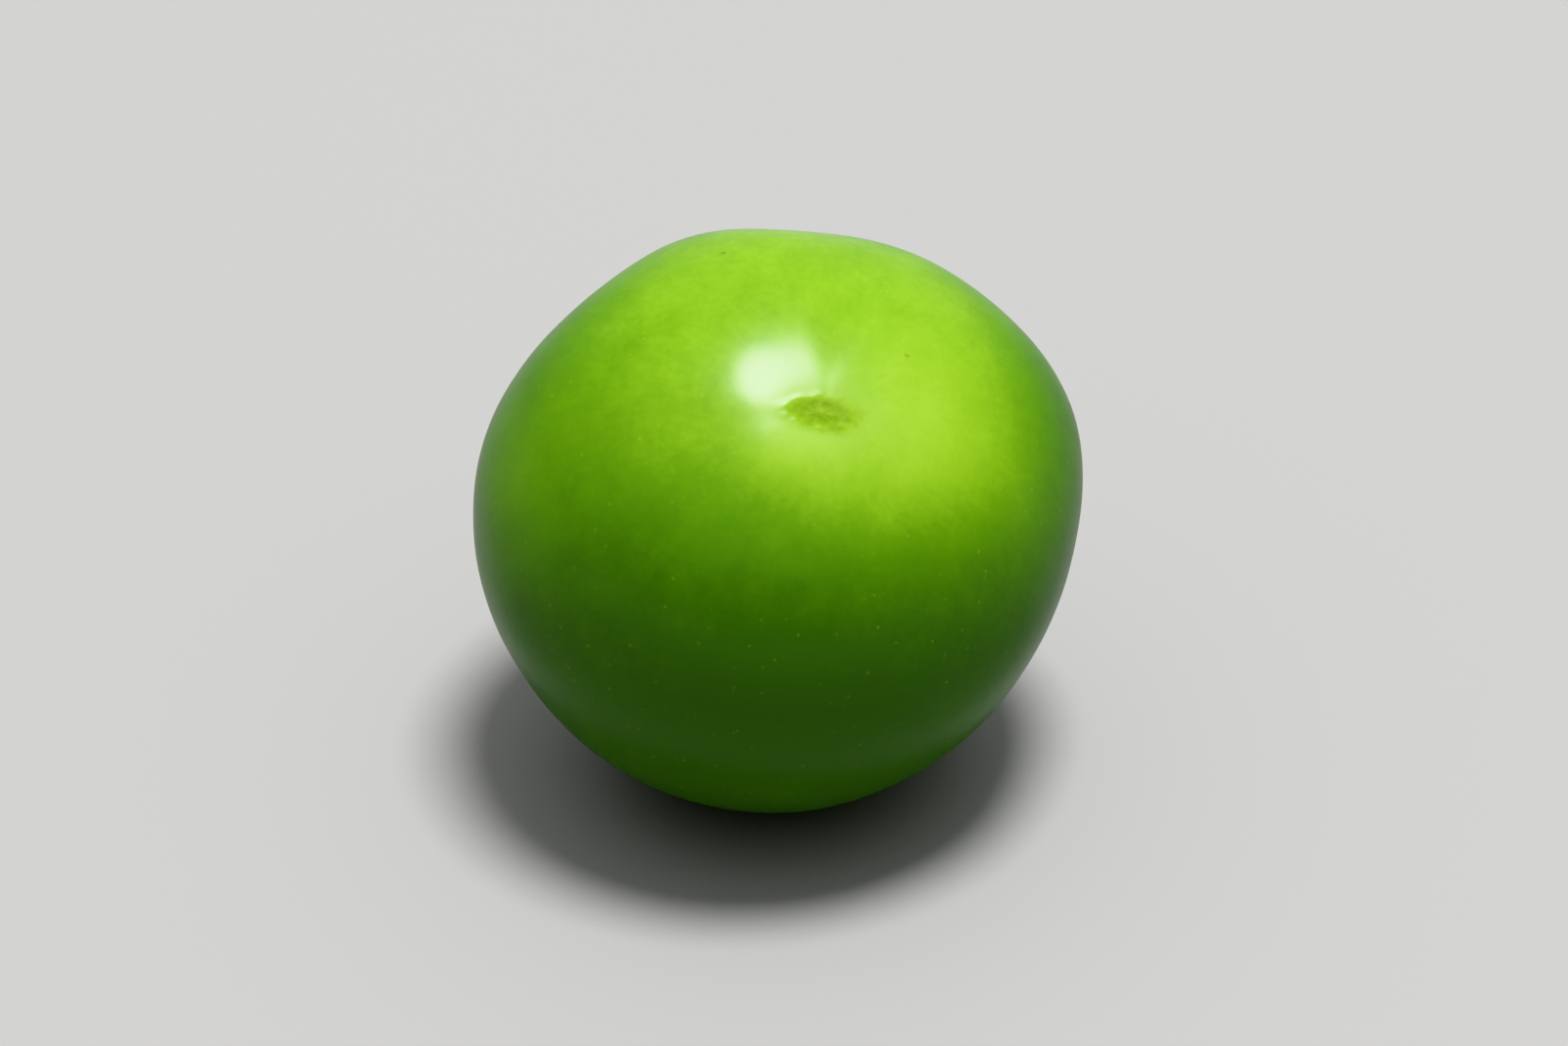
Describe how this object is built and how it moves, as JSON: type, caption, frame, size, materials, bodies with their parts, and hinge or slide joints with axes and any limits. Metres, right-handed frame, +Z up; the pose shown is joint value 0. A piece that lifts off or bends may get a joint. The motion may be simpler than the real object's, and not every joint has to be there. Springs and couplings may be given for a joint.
{
  "type": "tomatillo",
  "caption": "Husked green tomatillo: a squat round fruit with a stalk scar in a shallow basin, resting on a small flat spot.",
  "frame": {"origin": "on the surface the fruit rests on, under the middle of its bounding box", "axes": "+Z up, out of the resting spot's surface; +X to the right and +Y away as the picture looks at it; the stalk scar faces up and towards -Y"},
  "size_m": [0.0502, 0.0494, 0.0467],
  "materials": {
    "skin": "smooth, glossy and a little waxy"
  },
  "bodies": {
    "root": {"tomatillo": "skin"}
  },
  "joints": []
}
